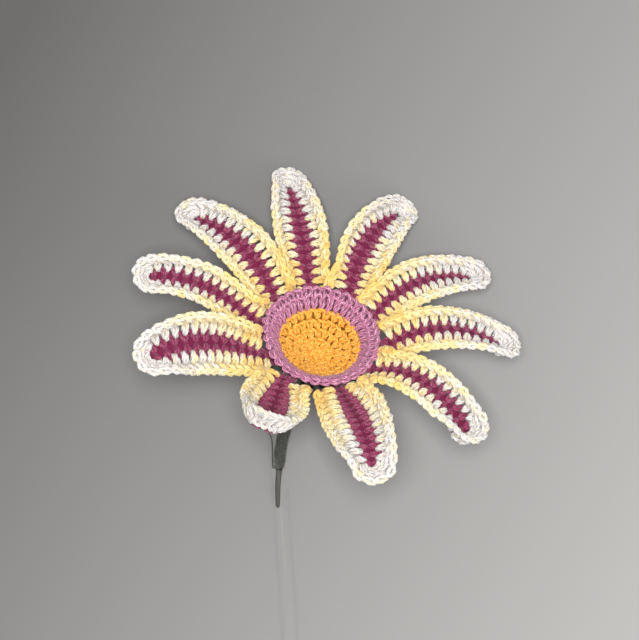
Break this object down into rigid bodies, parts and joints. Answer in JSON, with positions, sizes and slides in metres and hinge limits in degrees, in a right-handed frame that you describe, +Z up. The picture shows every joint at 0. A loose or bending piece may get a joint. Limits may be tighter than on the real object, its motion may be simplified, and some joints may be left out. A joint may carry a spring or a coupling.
{
  "type": "crocheted gazania flower",
  "caption": "Crocheted cotton gazania lying on its side: striped cream-edged petals, a mauve ring and an orange disc on a wrapped wire stem in a clear tube.",
  "frame": {"origin": "on the surface it lies on, under the middle of the whole object's box", "axes": "+Z up from that surface; +Y along the laid stem, from the tube towards the bloom; the bloom faces up and leans back towards +Y"},
  "size_m": [0.0968, 0.1288, 0.062],
  "materials": {
    "orange_cotton": "mercerised crochet cotton, yellow-orange",
    "mauve_cotton": "mercerised crochet cotton, mauve",
    "burgundy_cotton": "mercerised crochet cotton, burgundy",
    "cream_cotton": "variegated crochet cotton, golden yellow through cream to white",
    "green_wrap": "dark grey-green yarn wound round the stem",
    "stem_wire": "dull stem wire",
    "clear_tube": "clear thin-walled plastic"
  },
  "bodies": {
    "root": {"disc": "orange_cotton", "ring": "mauve_cotton", "backing": "green_wrap", "petal_1_stripe": "burgundy_cotton", "petal_1_edge": "cream_cotton", "petal_2_stripe": "burgundy_cotton", "petal_2_edge": "cream_cotton", "petal_3_stripe": "burgundy_cotton", "petal_3_edge": "cream_cotton", "petal_4_stripe": "burgundy_cotton", "petal_4_edge": "cream_cotton", "petal_5_stripe": "burgundy_cotton", "petal_5_edge": "cream_cotton", "petal_6_stripe": "burgundy_cotton", "petal_6_edge": "cream_cotton", "petal_7_stripe": "burgundy_cotton", "petal_7_edge": "cream_cotton", "petal_8_stripe": "burgundy_cotton", "petal_8_edge": "cream_cotton", "petal_9_stripe": "burgundy_cotton", "petal_9_edge": "cream_cotton", "petal_10_stripe": "burgundy_cotton", "petal_10_edge": "cream_cotton", "stem": "green_wrap", "stem_wire": "stem_wire", "tube": "clear_tube"}
  },
  "joints": []
}
